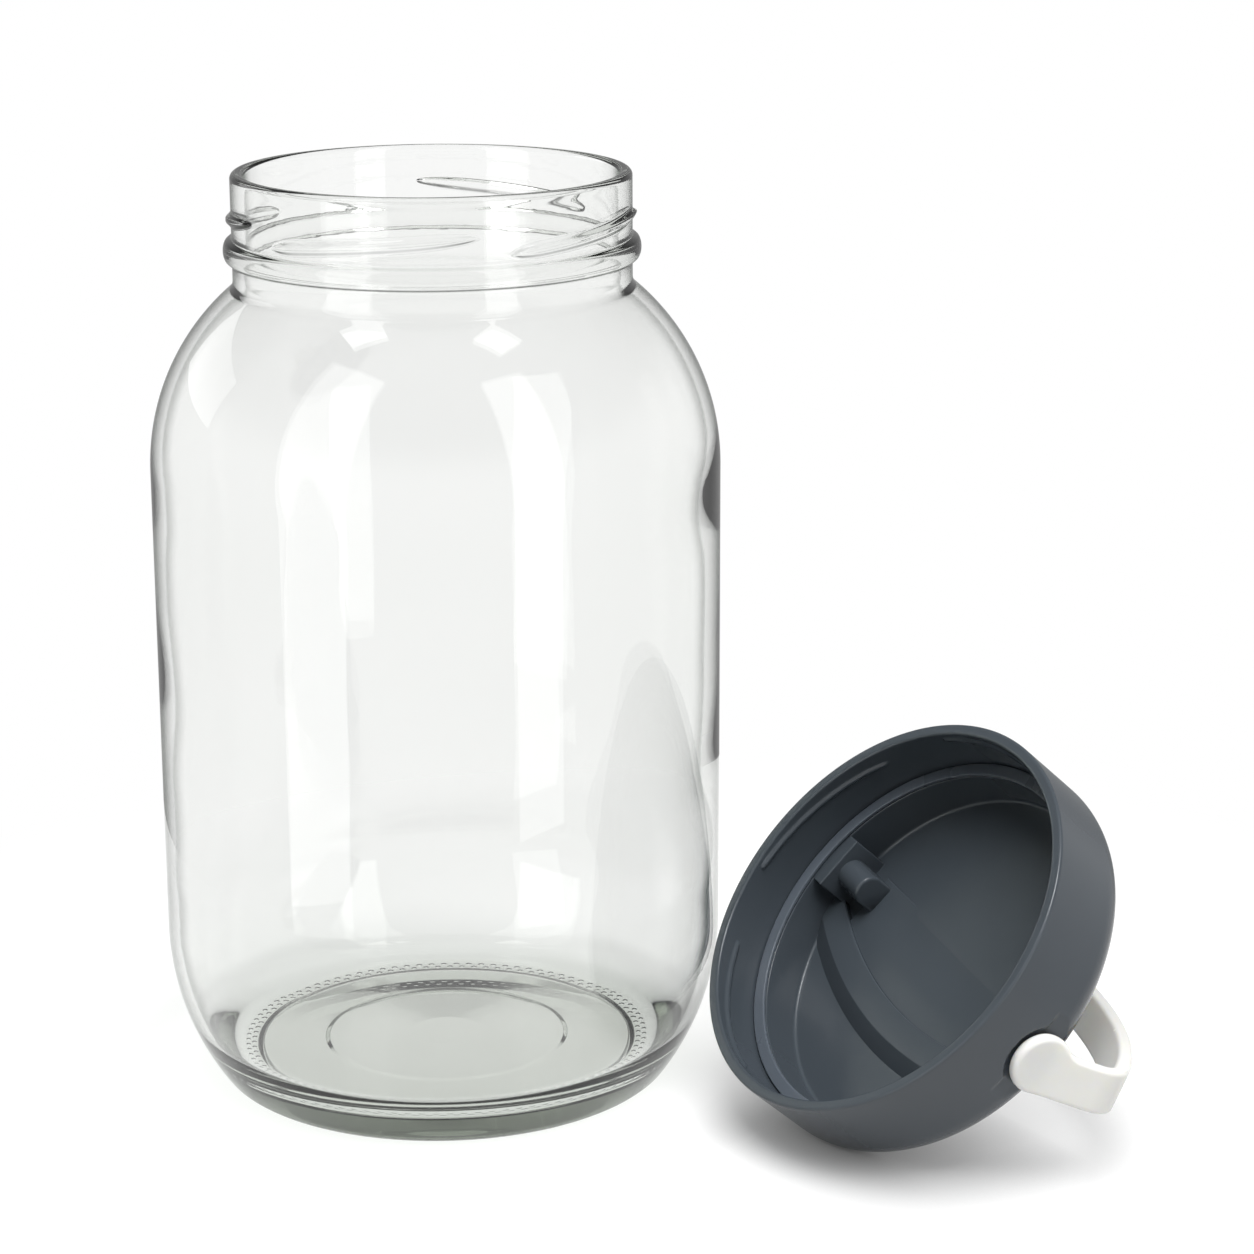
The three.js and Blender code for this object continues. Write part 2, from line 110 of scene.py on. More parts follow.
handle = SimpleNamespace(
    outer_half_span=60.6, leg_thickness=3.5, arch_thickness=4.2, arch_radius=90.5,
    arch_peak=50.8, flare_angle=18.0, flare_bend=12.0, corner_radius=9.5,
    inner_corner_radius=5.6, width=12.8, foot_radius=8.3, foot_blend=6.0, foot_share=0.6,
    lean_angle=21.0, edge_round=1.3,
)
pose = SimpleNamespace(mouth_rise_angle=41.0, mouth_turn_angle=-147.7, pivot_turn_angle=-12.8)

# How soon a screw ridge stands at its full height, for its breadth there
CREST_RISE = 2.2

# How far apart the points of the outlines lie
spacing = SimpleNamespace(
    plain=1.5, lip=0.2, neck=0.22, blend=0.4, inner_blend=0.5, foot=0.6, inner_neck=0.8,
    wall=2.5, lid=0.5, panel=1.2, boss=1.0, leg_bend=0.3, strap_corner=0.4, leg=0.8, bar=1.0,
)
# How many points go round a piece or along a part of it
counts = SimpleNamespace(
    jar=640, lid=720, floor=128, band=201, panel_edge=6, boss_nose=7, boss_side=8,
    boss_round=25, foot=22, strap_stretches=(14, 22, 26, 90), strap_width=37, pin=48,
)


# Outlines

def arc(centre, radius, start, end, step=spacing.plain):
    """A round stretch of an outline, from one angle to the other."""
    count = max(5, math.ceil(abs(end - start) * radius / step))
    angles = np.linspace(start, end, count + 1)
    across = centre[0] + radius * np.cos(angles)
    up = centre[1] + radius * np.sin(angles)
    return np.column_stack([across, up])


def straight(first, last, step=spacing.plain):
    first, last = np.array(first, float), np.array(last, float)
    count = max(1, math.ceil(np.linalg.norm(last - first) / step))
    return first + (last - first) * np.linspace(0, 1, count + 1)[:, None]


def joined(*stretches):
    """One outline from its stretches, without doubled points."""
    points = np.concatenate([np.atleast_2d(np.array(s, float)) for s in stretches])
    moved = np.linalg.norm(np.diff(points[:, :2], axis=0), axis=1) > SAME_POINT
    return points[np.r_[True, moved]]


def filled(points, step):
    """The same outline with no stretch longer than the step."""
    runs = [straight(a, b, step) for a, b in zip(points[:-1], points[1:])]
    return joined(*runs)


def eased(corners, roundings):
    """A run of straight lines with each corner between them rounded."""
    corners = np.array(corners, float)
    stretches = [corners[0]]
    for before, corner, after, rounding in zip(corners, corners[1:], corners[2:], roundings):
        back = (before - corner) / np.linalg.norm(before - corner)
        ahead = (after - corner) / np.linalg.norm(after - corner)
        half = math.acos(np.clip(back @ ahead, -1, 1)) / 2
        middle = (back + ahead) / np.linalg.norm(back + ahead)
        centre = corner + middle * rounding / math.sin(half)
        first = corner + back * rounding / math.tan(half) - centre
        last = corner + ahead * rounding / math.tan(half) - centre
        start = math.atan2(first[1], first[0])
        turn = math.atan2(last[1], last[0]) - start
        turn = (turn + math.pi) % (2 * math.pi) - math.pi
        stretches.append(arc(centre, rounding, start, start + turn))
    stretches.append(corners[-1])
    return joined(*stretches)


def smooth(value, low, high):
    """0 up to low, 1 from high on, and an even rise between them."""
    share = np.clip((value - low) / (high - low), 0, 1)
    return share * share * (3 - 2 * share)


# Solids, each a pair of points and faces

def strips(count, size, closed=False):
    """The four-cornered faces between rows of points, each row a ring."""
    row = np.arange(count if closed else count - 1)[:, None] * size
    along = np.arange(size)[None, :]
    following = (along + 1) % size
    above = (row + size) % (count * size)
    quads = np.stack([row + along, row + following, above + following, above + along], axis=-1)
    return quads.reshape(-1, 4).tolist()


def turned(rows, segments, reshape=None, closed=False):
    """A surface turned round Z from rows of radius and height, with poles where it meets the axis."""
    angles = 2 * math.pi * np.arange(segments) / segments
    ring = rows[rows[:, 0] > NO_LENGTH]
    x = ring[:, :1] * np.cos(angles)
    y = ring[:, :1] * np.sin(angles)
    z = ring[:, 1:2] + 0 * angles
    if reshape:
        x, y, z = reshape(x, y, z, ring)
    points = np.stack([x, y, z], axis=-1).reshape(-1, 3)
    faces = strips(len(ring), segments, closed)
    for pole, first, flip in ((rows[0], 0, True), (rows[-1], len(ring) - 1, False)):
        if pole[0] > NO_LENGTH:
            continue
        tip = len(points)
        points = np.vstack([points, [0, 0, pole[1]]])
        fan = np.arange(segments) + first * segments
        other = np.roll(fan, -1)
        corners = (other, fan) if flip else (fan, other)
        faces += np.column_stack([corners[0], corners[1], np.full(segments, tip)]).tolist()
    return points, faces


def lofted(sections):
    """A closed solid through sections that all have the same number of corners."""
    sections = np.array(sections, float)
    count, size = sections.shape[:2]
    last = (count - 1) * size
    ends = [list(range(size))[::-1], list(range(last, last + size))]
    return sections.reshape(-1, 3), strips(count, size) + ends


def raised_field(across, along, height, foot):
    """A closed solid over a grid, from its foot to a height that changes over it."""
    x, y = np.meshgrid(across, along, indexing="ij")
    top = np.stack([x, y, height(x, y)], axis=-1).reshape(-1, 3)
    rows, columns = x.shape
    index = np.arange(rows * columns).reshape(rows, columns)
    quads = np.stack(
        [index[:-1, :-1], index[1:, :-1], index[1:, 1:], index[:-1, 1:]], axis=-1
    ).reshape(-1, 4)
    edge = np.concatenate([index[:, 0], index[-1, 1:], index[-2::-1, -1], index[0, -2:0:-1]])
    skirt = top[edge].copy()
    skirt[:, 2] = foot
    low = len(top) + np.arange(len(edge))
    sides = np.column_stack([edge, low, np.roll(low, -1), np.roll(edge, -1)])
    faces = quads.tolist() + sides.tolist() + [low[::-1].tolist()]
    return np.vstack([top, skirt]), faces


def eased_block(low, high, rounding):
    """A block with all its edges rounded."""
    low, high = Vector(low), Vector(high)
    shape = bmesh.new()
    bmesh.ops.create_cube(shape, size=1)
    for corner in shape.verts:
        share = corner.co + Vector((0.5, 0.5, 0.5))
        corner.co = [low[i] + (high[i] - low[i]) * share[i] for i in range(3)]
    bmesh.ops.bevel(
        shape, geom=shape.edges[:], offset=rounding, segments=4, profile=0.5, affect="EDGES"
    )
    points = np.array([corner.co[:] for corner in shape.verts])
    faces = [[corner.index for corner in face.verts] for face in shape.faces]
    shape.free()
    return points, faces


def half_turned(solid):
    points, faces = solid
    return points * np.array([-1, -1, 1]), faces


def made_piece(name, solids, place, material, body, node):
    """One object from its solids, put in place, that rides on a body and stands for a CAD node."""
    points, faces, first = [], [], 0
    for part_points, part_faces in solids:
        points.append(part_points)
        faces += [[corner + first for corner in face] for face in part_faces]
        first += len(part_points)
    mesh = bpy.data.meshes.new(name)
    placed = np.concatenate(points) * MILLIMETRE
    turn = np.array(place.to_3x3())
    placed = placed @ turn.T + np.array(place.translation)
    mesh.from_pydata(placed, [], faces)
    shape = bmesh.new()
    shape.from_mesh(mesh)
    bmesh.ops.recalc_face_normals(shape, faces=shape.faces)
    shape.to_mesh(mesh)
    shape.free()
    mesh.shade_smooth()
    mesh.materials.append(material)
    piece = bpy.data.objects.new(name, mesh)
    bpy.context.scene.collection.objects.link(piece)
    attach(piece, body)
    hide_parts(node)
    return piece


# Screw ridges

def ridge_fullness(x, y, z, ridge, lower, upper):
    """How full the screw ridges stand at each point, from 0 beside them to 1 on their faces."""
    turn = np.degrees(np.arctan2(y, x))
    least_half = 0.001
    full = np.zeros_like(x)
    for start in ridge.start_angles:
        # How far each point lies along the ridge, below 0 before it and above 1 past it
        share = ((turn - start + 90) % 360 - 90) / ridge.span
        inside = np.clip(share, 0, 1)
        blunt = np.clip(inside / ridge.blunt_share, 0, 1)
        drawn = np.clip((1 - inside) / ridge.long_share, 0, 1)
        breadth = np.sqrt(1 - (1 - blunt) ** 2) * np.sqrt(1 - (1 - drawn) ** 2)
        half = np.maximum(ridge.half_height * breadth, least_half)
        away = np.abs(z - (lower + (upper - lower) * share)) / half
        face = smooth(1 - away, 0, ridge.side_share) * np.minimum(1, CREST_RISE * breadth)
        full = np.maximum(full, np.where((share > 0) & (share < 1), face, 0))
    return full


# The glass jar

def heel_plan():
    """Where the big heel arc and the small foot arc meet, and how high the heel starts."""
    centre_radius = jar.body_radius - jar.heel_radius
    between = jar.heel_radius - jar.heel_foot_radius
    angle = math.acos((jar.foot_radius - centre_radius) / between)
    centre_height = jar.heel_foot_radius + between * math.sin(angle)
    inner_between = jar.heel_radius - jar.wall - jar.inner_foot_radius
    inner_drop = centre_height - jar.inner_foot_radius - jar.floor_height
    inner_angle = math.asin(inner_drop / inner_between)
    return SimpleNamespace(
        centre_radius=centre_radius, angle=angle, centre_height=centre_height,
        inner_between=inner_between, inner_angle=inner_angle,
    )


def shoulder_plan(arc_radius, neck_radius, blend_radius):
    """The blend between a shoulder arc and the straight neck above it."""
    centre_radius = jar.body_radius - jar.shoulder_radius
    across = neck_radius + blend_radius - centre_radius
    rise = math.sqrt((arc_radius + blend_radius) ** 2 - across ** 2)
    return SimpleNamespace(
        centre_radius=centre_radius, angle=math.atan2(rise, across),
        blend_height=jar.shoulder_height + rise,
    )


def jar_height():
    plan = shoulder_plan(jar.shoulder_radius, neck.radius, neck.blend_radius)
    return plan.blend_height + neck.length


def base_outline():
    """The pushed-up base, from the axis out to the foot ring's outer edge."""
    foot_inner = jar.foot_radius - jar.foot_width
    step_top = jar.push_up - jar.step_rise
    step_foot = jar.push_up - 2 * jar.step_rise
    corners = [
        (0, jar.push_up),
        (jar.flat_radius, jar.push_up),
        (jar.step_radius - jar.step_width, step_top),
        (jar.step_radius, step_foot),
        (foot_inner - 2 * jar.foot_relief, 2 * jar.foot_relief),
        (foot_inner, 0),
        (jar.foot_radius, 0),
    ]
    return filled(eased(corners, jar.base_roundings), spacing.plain)


def outer_outline():
    """The outside from the foot ring over heel, body and shoulder to the neck."""
    heel = heel_plan()
    top = shoulder_plan(jar.shoulder_radius, neck.radius, neck.blend_radius)
    foot_centre = (jar.foot_radius, jar.heel_foot_radius)
    foot = arc(foot_centre, jar.heel_foot_radius, -math.pi / 2, -heel.angle, spacing.foot)
    heel_centre = (heel.centre_radius, heel.centre_height)
    big = arc(heel_centre, jar.heel_radius, -heel.angle, 0)
    shoulder_centre = (top.centre_radius, jar.shoulder_height)
    shoulder = arc(shoulder_centre, jar.shoulder_radius, 0, top.angle)
    blend_centre = (neck.radius + neck.blend_radius, top.blend_height)
    blend = arc(blend_centre, neck.blend_radius, top.angle + math.pi, math.pi, spacing.blend)
    side = straight(big[-1], shoulder[0], spacing.wall)
    return joined(foot, big, side, shoulder, blend)


def neck_outline():
    """The neck's outside with its bead, and its rolled lip."""
    top = jar_height()
    bead_low = top - neck.bead_drop - neck.bead_half_height
    bead_high = top - neck.bead_drop + neck.bead_half_height
    heights = np.arange(bead_low, top - 2 * neck.lip_radius, spacing.neck)
    place = np.clip((heights - bead_low) / (bead_high - bead_low), 0, 1) * 2 - 1
    swell = np.sqrt(np.clip(1 - np.abs(place) ** neck.bead_fullness, 0, 1))
    swell = swell * smooth(1 - np.abs(place), 0, neck.bead_side_share)
    outside = np.column_stack([neck.radius + (neck.bead_radius - neck.radius) * swell, heights])
    inner = neck.radius - neck.wall
    lip_height = top - neck.lip_radius
    lip_centre = (neck.radius - neck.lip_radius, lip_height)
    outer_lip = arc(lip_centre, neck.lip_radius, 0, math.pi / 2, spacing.lip)
    inner_lip_centre = (inner + neck.lip_radius, lip_height)
    inner_lip = arc(inner_lip_centre, neck.lip_radius, math.pi / 2, math.pi, spacing.lip)
    return joined(outside, outer_lip, inner_lip)


def inner_outline():
    """The inside from the lip down to the middle of the floor."""
    heel = heel_plan()
    inner_neck = neck.radius - neck.wall
    inner_shoulder = jar.shoulder_radius - jar.wall
    top = shoulder_plan(inner_shoulder, inner_neck, neck.inner_blend_radius)
    blend_centre = (inner_neck + neck.inner_blend_radius, top.blend_height)
    blend = arc(blend_centre, neck.inner_blend_radius, math.pi, top.angle + math.pi, spacing.inner_blend)
    shoulder_centre = (top.centre_radius, jar.shoulder_height)
    shoulder = arc(shoulder_centre, inner_shoulder, top.angle, 0)
    heel_centre = (heel.centre_radius, heel.centre_height)
    big = arc(heel_centre, jar.heel_radius - jar.wall, 0, -heel.inner_angle)
    foot_radius = heel.centre_radius + heel.inner_between * math.cos(heel.inner_angle)
    foot_centre = (foot_radius, jar.floor_height + jar.inner_foot_radius)
    foot = arc(foot_centre, jar.inner_foot_radius, -heel.inner_angle, -math.pi / 2)
    floor = straight(foot[-1], (0, jar.floor_height), spacing.wall)
    lip_foot = (inner_neck, jar_height() - 2 * neck.lip_radius)
    return joined(
        straight(lip_foot, blend[0], spacing.inner_neck), blend, shoulder,
        straight(shoulder[-1], big[0], spacing.plain), big, foot, floor,
    )


def wall_thickening(angle, height):
    """How much the blown wall is thicker at each place than its plain wall."""
    side = np.cos(angle)
    body = smooth(height, ripple.low, ripple.low + ripple.fade)
    body = body * (1 - smooth(height, ripple.high - ripple.fade, ripple.high))
    plateau = (ripple.depth + ripple.depth_side * side) * body
    upper = np.exp(-((height - ripple.upper_height) / ripple.upper_length) ** 2)
    lower = np.exp(-((height - ripple.lower_height) / ripple.lower_length) ** 2)
    upper_crest = (ripple.upper_depth + ripple.upper_side * side) * upper
    lower_crest = (ripple.lower_depth + ripple.lower_side * side) * lower
    swing = ripple.lobe_swing * np.sin(2 * angle + ripple.lobe_start)
    lobes = np.sin(2 * math.pi * height / ripple.lobe_length + swing)
    lobes = lobes + ripple.cross_share * np.sin(3 * angle + height / ripple.cross_length)
    return plateau + (upper_crest + lower_crest) + ripple.lobe_depth * lobes * body


def glass_jar_piece(place):
    """The jar's wall in one skin, with its lugs raised and its inside uneven."""
    outside = joined(base_outline(), outer_outline(), neck_outline())
    inside = inner_outline()
    rows = np.vstack([
        np.column_stack([outside, np.zeros(len(outside))]),
        np.column_stack([inside, np.ones(len(inside))]),
    ])
    top = jar_height()

    def reshape(x, y, z, ring):
        angle = np.arctan2(y, x)
        radius = np.hypot(x, y)
        inner = ring[:, 2:3] > 0.5
        on_neck = (~inner) & (np.abs(ring[:, :1] - neck.radius) < neck.smooth_within)
        lug_ends = (top - neck_lug.lower_drop, top - neck_lug.upper_drop)
        lug = ridge_fullness(x, y, z, neck_lug, *lug_ends)
        radius = radius + neck_lug.reach * lug * on_neck
        radius = radius - wall_thickening(angle, z) * inner
        return radius * np.cos(angle), radius * np.sin(angle), z

    solid = turned(rows, counts.jar, reshape)
    return made_piece(
        "glass_jar_wall", [solid], place, clear_glass(place), "jar", "glass_jar"
    )


# The lid

def lid_shell():
    """The skirt, the step, the ridges and the top, with the pockets and the band's groove outside."""
    plate = lid.height - lid.top_wall
    skirt_inner = lid.radius - lid.skirt_wall
    crown_centre = (lid.radius - lid.crown_radius, lid.height - lid.crown_radius)
    inside = eased(
        [(0, plate), (lid.inner_radius, plate), (lid.inner_radius, lid.seat_height),
         (skirt_inner, lid.seat_height), (skirt_inner, 0), (lid.radius, 0),
         (lid.radius, lid.height - lid.crown_radius)],
        [lid.corner_radius, lid.seat_round, lid.seat_round, lid.rim_round, lid.rim_round],
    )
    crown = arc(crown_centre, lid.crown_radius, 0, math.pi / 2, spacing.lid)
    rows = filled(joined(inside, crown, (0, lid.height)), spacing.lid)
    is_outside = np.zeros(len(rows))
    is_outside[np.argmax(rows[:, 0] > lid.radius - NO_LENGTH):] = 1
    rows = np.column_stack([rows, is_outside])

    def reshape(x, y, z, ring):
        outside = ring[:, 2:3] > 0.5
        on_skirt = (~outside) & (np.abs(ring[:, :1] - skirt_inner) < lid.smooth_within)
        ridge_ends = (lid_thread.lower_height, lid_thread.upper_height)
        ridge = ridge_fullness(x, y, z, lid_thread, *ridge_ends)
        keep = 1 - lid_thread.reach * ridge * on_skirt / np.maximum(ring[:, :1], 1)
        x, y = x * keep, y * keep
        below = pivot.pocket_radius - np.hypot(y, z - pivot.height)
        above = z - (pivot.height - pivot.pocket_side_drop)
        reach = np.maximum(below, above)
        cut = smooth(reach, -pivot.pocket_edge / 2, pivot.pocket_edge / 2) * outside
        too_wide = np.maximum(np.abs(x) - pivot.pocket_floor, 0)
        x = x - np.sign(x) * too_wide * cut
        from_centre = np.hypot(x, y - band.arc_centre)
        groove_start = band.inner_radius - band.edge_round
        groove_full = band.inner_radius + band.edge_round
        groove = smooth(from_centre, groove_start, groove_full)
        slope = (band.skirt_radius - from_centre) / (band.skirt_radius - band.outer_radius)
        groove = groove * np.clip(slope, 0, 1)
        z = np.where(outside, np.minimum(z, lid.height - band.depth * groove), z)
        return x, y, z

    return turned(rows, counts.lid, reshape)


def arched_band():
    """The band raised on the underside of the top, its ends inside the wall."""
    plate = lid.height - lid.top_wall
    face = plate - band.depth
    corners = [
        (band.skirt_radius, plate + HIDDEN), (band.skirt_radius, plate + SLIVER),
        (band.outer_radius, face), (band.inner_radius, face), (band.inner_radius, plate + HIDDEN),
    ]
    outline = eased(corners, [SLIVER, 2 * band.edge_round, band.edge_round])
    ends = (outline[:, 0] ** 2 + band.arc_centre ** 2 - band.end_radius ** 2)
    ends = np.arccos(ends / (2 * abs(band.arc_centre) * outline[:, 0]))
    sections = []
    for share in np.linspace(-1, 1, counts.band):
        angle = share * ends
        across = outline[:, 0] * np.sin(angle)
        along = band.arc_centre + outline[:, 0] * np.cos(angle)
        sections.append(np.column_stack([across, along, outline[:, 1]]))
    return lofted(sections)


def eased_stations(low, high, rounding, both=True):
    """Places across a field, close together where its edges are rounded."""
    near = rounding * (1 - np.cos(np.linspace(0, math.pi / 2, counts.panel_edge)))
    number = int((high - low) / spacing.panel)
    middle = np.linspace(low + rounding, high - rounding * both, number)
    stations = [low + near, middle]
    if both:
        stations.append(high - near)
    return np.unique(np.round(np.concatenate(stations), 5))


def raised_panel():
    """The panel beside the band, whose far side sinks into the top towards its middle."""
    plate = lid.height - lid.top_wall
    across = eased_stations(-panel.half_length, panel.half_length, panel.edge_round)
    along = eased_stations(panel.far_side, panel.near_side, panel.edge_round, both=False)

    def height(x, y):
        edge = np.minimum(panel.half_length - np.abs(x), y - panel.far_side)
        edge = np.minimum(edge, panel.edge_round)
        drop = panel.edge_round - np.sqrt(panel.edge_round ** 2 - (panel.edge_round - edge) ** 2)
        sunk = smooth(panel.half_length - np.abs(x), 0, panel.sharp_length)
        sunk = sunk * (1 - smooth(y, panel.far_side, panel.far_side + panel.sink_length))
        return plate - panel.depth * (1 - panel.sink_share * sunk) + drop

    return raised_field(across, along, height, plate + HIDDEN)


def boss_block():
    """The block that holds a pin, round towards the mouth and straight where it joins the top."""
    inner = lid.inner_radius - pivot.boss_reach
    top = lid.height - lid.top_wall + HIDDEN
    sections = []
    for turn in np.linspace(0, math.pi / 2, counts.boss_nose):
        inset = pivot.boss_round * (1 - math.sin(turn))
        place = inner + pivot.boss_round * (1 - math.cos(turn))
        sections.append((place, inset))
    side = np.linspace(inner + pivot.boss_nose, lid.inner_radius + HIDDEN, counts.boss_side)
    sections += [(place, 0) for place in side]
    outlines = []
    for place, inset in sections:
        radius = pivot.boss_radius - inset
        angles = np.linspace(math.pi, 2 * math.pi, counts.boss_round)
        low = np.column_stack([radius * np.cos(angles), pivot.height + radius * np.sin(angles)])
        right = straight((radius, pivot.height), (radius, top), spacing.boss)
        left = straight((-radius, top), (-radius, pivot.height), spacing.boss)
        outline = np.vstack([low, right[1:], left[:-1]])
        outlines.append(np.column_stack([np.full(len(outline), place), outline]))
    return lofted(outlines)


def pad_block():
    """The flat pad on the lid's inner wall that carries a boss."""
    low = (pivot.pad_face, -pivot.pad_half_width, lid.seat_height + pivot.pad_lift)
    high = (lid.inner_radius + HIDDEN, pivot.pad_half_width, lid.height - lid.top_wall + HIDDEN)
    return eased_block(low, high, pivot.pad_round)


def lid_piece(place, material):
    boss, pad = boss_block(), pad_block()
    solids = [
        lid_shell(), arched_band(), raised_panel(),
        boss, half_turned(boss), pad, half_turned(pad),
    ]
    return made_piece(
        "lid_moulding_skin", solids, place, material, "lid", "lid_moulding"
    )


def seal_piece(place, material):
    outer = lid.radius - lid.skirt_wall - seal.edge_clearance
    top = lid.seat_height - seal.seat_clearance
    low = top - seal.thickness
    middle = (lid.inner_radius + outer) / 2
    corners = [
        (middle, low), (outer, low), (outer, top), (lid.inner_radius, top),
        (lid.inner_radius, low), (middle, low),
    ]
    rows = filled(eased(corners, [seal.edge_round] * 4), spacing.lid)[:-1]
    solid = turned(rows, counts.lid, closed=True)
    return made_piece(
        "seal_ring_flat", [solid], place, material, "lid", "seal_ring"
    )


# The handle

def strap_side(half_span, bend, radius, peak, corner):
    """The right half of one side of the strap, from the pivot's height up to the arch's middle."""
    flare = math.radians(handle.flare_angle)
    centre = peak - radius
    across = half_span + bend - (bend + corner) * math.cos(flare)
    rise = (bend + corner) * math.sin(flare) - centre
    slant = across * math.sin(flare) + rise * math.cos(flare)
    run = math.sqrt(slant ** 2 + (radius - corner) ** 2 - across ** 2 - rise ** 2) - slant
    corner_span = across + run * math.sin(flare)
    corner_height = centre + rise + run * math.cos(flare)
    turn = math.atan2(corner_height - centre, corner_span)
    bent = arc((half_span + bend, 0), bend, math.pi, math.pi - flare, spacing.leg_bend)
    turned_over = arc((corner_span, corner_height), corner, -flare, turn, spacing.strap_corner)
    over = arc((0, centre), radius, turn, math.pi / 2, spacing.bar)
    return [bent, straight(bent[-1], turned_over[0], spacing.leg), turned_over, over]


def along_strap(stretches):
    """The same number of points on each stretch, whichever side of the strap it is."""
    places = []
    for stretch, count in zip(stretches, counts.strap_stretches):
        run = np.r_[0, np.cumsum(np.linalg.norm(np.diff(stretch, axis=0), axis=1))]
        share = np.linspace(0, run[-1], count + 1)[1:]
        places.append(np.column_stack([np.interp(share, run, stretch[:, i]) for i in (0, 1)]))
    return np.vstack(places)


def strap_edges(runs):
    """Where the strap's two edges lie at each distance above the pivot, beside the round foot."""
    narrow = handle.foot_radius - handle.width
    blend_across = narrow - handle.foot_blend
    reach = handle.foot_radius + handle.foot_blend
    blend_height = math.sqrt(reach ** 2 - blend_across ** 2)
    meet = blend_height * handle.foot_radius / reach
    least_square = 0.0001
    foot = np.sqrt(np.maximum(handle.foot_radius ** 2 - runs ** 2, least_square))
    drop = np.clip(blend_height - runs, -handle.foot_blend, handle.foot_blend)
    hollow = blend_across + np.sqrt(handle.foot_blend ** 2 - drop ** 2)
    low = np.where(runs < meet, -foot, np.where(runs < blend_height, hollow, narrow))
    high = np.where(runs < 0, foot, handle.foot_radius)
    return low, high


def strap_sides():
    """The strap's outer and inner side, point for point, from a foot up to the arch's middle."""
    outer = along_strap(strap_side(
        handle.outer_half_span, handle.flare_bend, handle.arch_radius, handle.arch_peak,
        handle.corner_radius,
    ))
    inner = along_strap(strap_side(
        handle.outer_half_span - handle.leg_thickness, handle.flare_bend + handle.leg_thickness,
        handle.arch_radius - handle.arch_thickness, handle.arch_peak - handle.arch_thickness,
        handle.inner_corner_radius,
    ))
    foot_runs = -handle.foot_radius * np.cos(np.linspace(0, math.pi / 2, counts.foot))
    foot_outer = np.column_stack([np.full(counts.foot, handle.outer_half_span), foot_runs])
    foot_inner = foot_outer - [handle.leg_thickness, 0]
    return np.vstack([foot_outer, outer]), np.vstack([foot_inner, inner])


def strap_section(outside, inside, run, low, high):
    """The outline across the strap at one place along it, with rounded edges."""
    middle = (outside + inside) / 2
    towards = (outside - inside) / np.linalg.norm(outside - inside)
    thick = np.linalg.norm(outside - inside) / 2
    spread = np.sin(np.linspace(-math.pi / 2, math.pi / 2, counts.strap_width))
    across = (low + high) / 2 + spread * (high - low) / 2
    from_round = handle.foot_radius - np.hypot(across, run)
    from_high = from_round if run < 0 else high - across
    from_low = from_round if run < handle.foot_share * handle.foot_radius else across - low
    edge = np.where(across > 0, from_high, from_low)
    lack = handle.edge_round - np.clip(edge, 0, handle.edge_round)
    swell = thick - handle.edge_round + np.sqrt(handle.edge_round ** 2 - lack ** 2)
    top = middle + swell[:, None] * towards
    under = middle - swell[:, None] * towards
    return np.vstack([
        np.column_stack([top[:, 0], across, top[:, 1]]),
        np.column_stack([under[:, 0], across, under[:, 1]])[::-1],
    ])


def strap():
    """Both legs and the arched bar in one solid."""
    outer, inner = strap_sides()
    runs = np.cumsum(np.linalg.norm(np.diff(outer, axis=0), axis=1))
    runs = np.r_[0, runs] - handle.foot_radius
    places = zip(outer, inner, runs, *strap_edges(runs))
    sections = [strap_section(*at_place) for at_place in places]
    sections += [section * [-1, 1, 1] for section in sections[-2::-1]]
    return lofted(sections)


def pivot_pin():
    """A pin with a small chamfer, from its end inside the boss to the middle of the foot."""
    stations = [
        (pivot.pin_end, pivot.pin_radius - pivot.pin_chamfer),
        (pivot.pin_end + pivot.pin_chamfer, pivot.pin_radius),
        (handle.outer_half_span - handle.leg_thickness / 2, pivot.pin_radius),
    ]
    angles = np.linspace(0, 2 * math.pi, counts.pin, endpoint=False)
    across, up = np.cos(angles), np.sin(angles)
    return lofted([
        np.column_stack([np.full(counts.pin, x), radius * across, radius * up])
        for x, radius in stations
    ])


def carry_handle_piece(place, material):
    pin = pivot_pin()
    return made_piece(
        "carry_handle_strap", [strap(), pin, half_turned(pin)], place, material,
        "handle", "carry_handle",
    )


# Materials

def socket(group, name, direction, kind="NodeSocketFloat", value=None):
    made = group.interface.new_socket(name=name, in_out=direction, socket_type=kind)
    if value is not None:
        made.default_value = value


def link(tree, source, target):
    tree.links.new(source, target)


def new_node(tree, kind, **values):
    """A shader node with plain values on the inputs named, an underline for each space."""
    node = tree.nodes.new("ShaderNode" + kind)
    set_inputs(node, {name.replace("_", " "): value for name, value in values.items()})
    return node


def set_inputs(node, values):
    for name, value in values.items():
        node.inputs[name].default_value = value


def new_material(name):
    material = bpy.data.materials.new(name)
    material.use_nodes = True
    return material, material.node_tree


def feed(tree, value, target):
    """Puts a plain number on a socket, or links another socket to it."""
    if isinstance(value, (int, float)):
        target.default_value = value
    else:
        link(tree, value, target)


def maths(tree, operation, first, second=None, third=None, clamp=False):
    """A Math node whose inputs are sockets or plain numbers."""
    node = new_node(tree, "Math")
    node.operation = operation
    node.use_clamp = clamp
    for i, value in enumerate((first, second, third)):
        if value is not None:
            feed(tree, value, node.inputs[i])
    return node.outputs[0]


def vector_maths(tree, operation, first, second=None):
    """A Vector Math node, which puts out a number where it measures and a vector elsewhere."""
    node = new_node(tree, "VectorMath")
    node.operation = operation
    link(tree, first, node.inputs[0])
    if second is not None:
        node.inputs[1].default_value = second
    return node.outputs["Value" if operation in ("LENGTH", "DISTANCE") else "Vector"]


def opposite(tree, value):
    """1 where the value is 0, and 0 where it is 1."""
    return maths(tree, "SUBTRACT", 1.0, value)


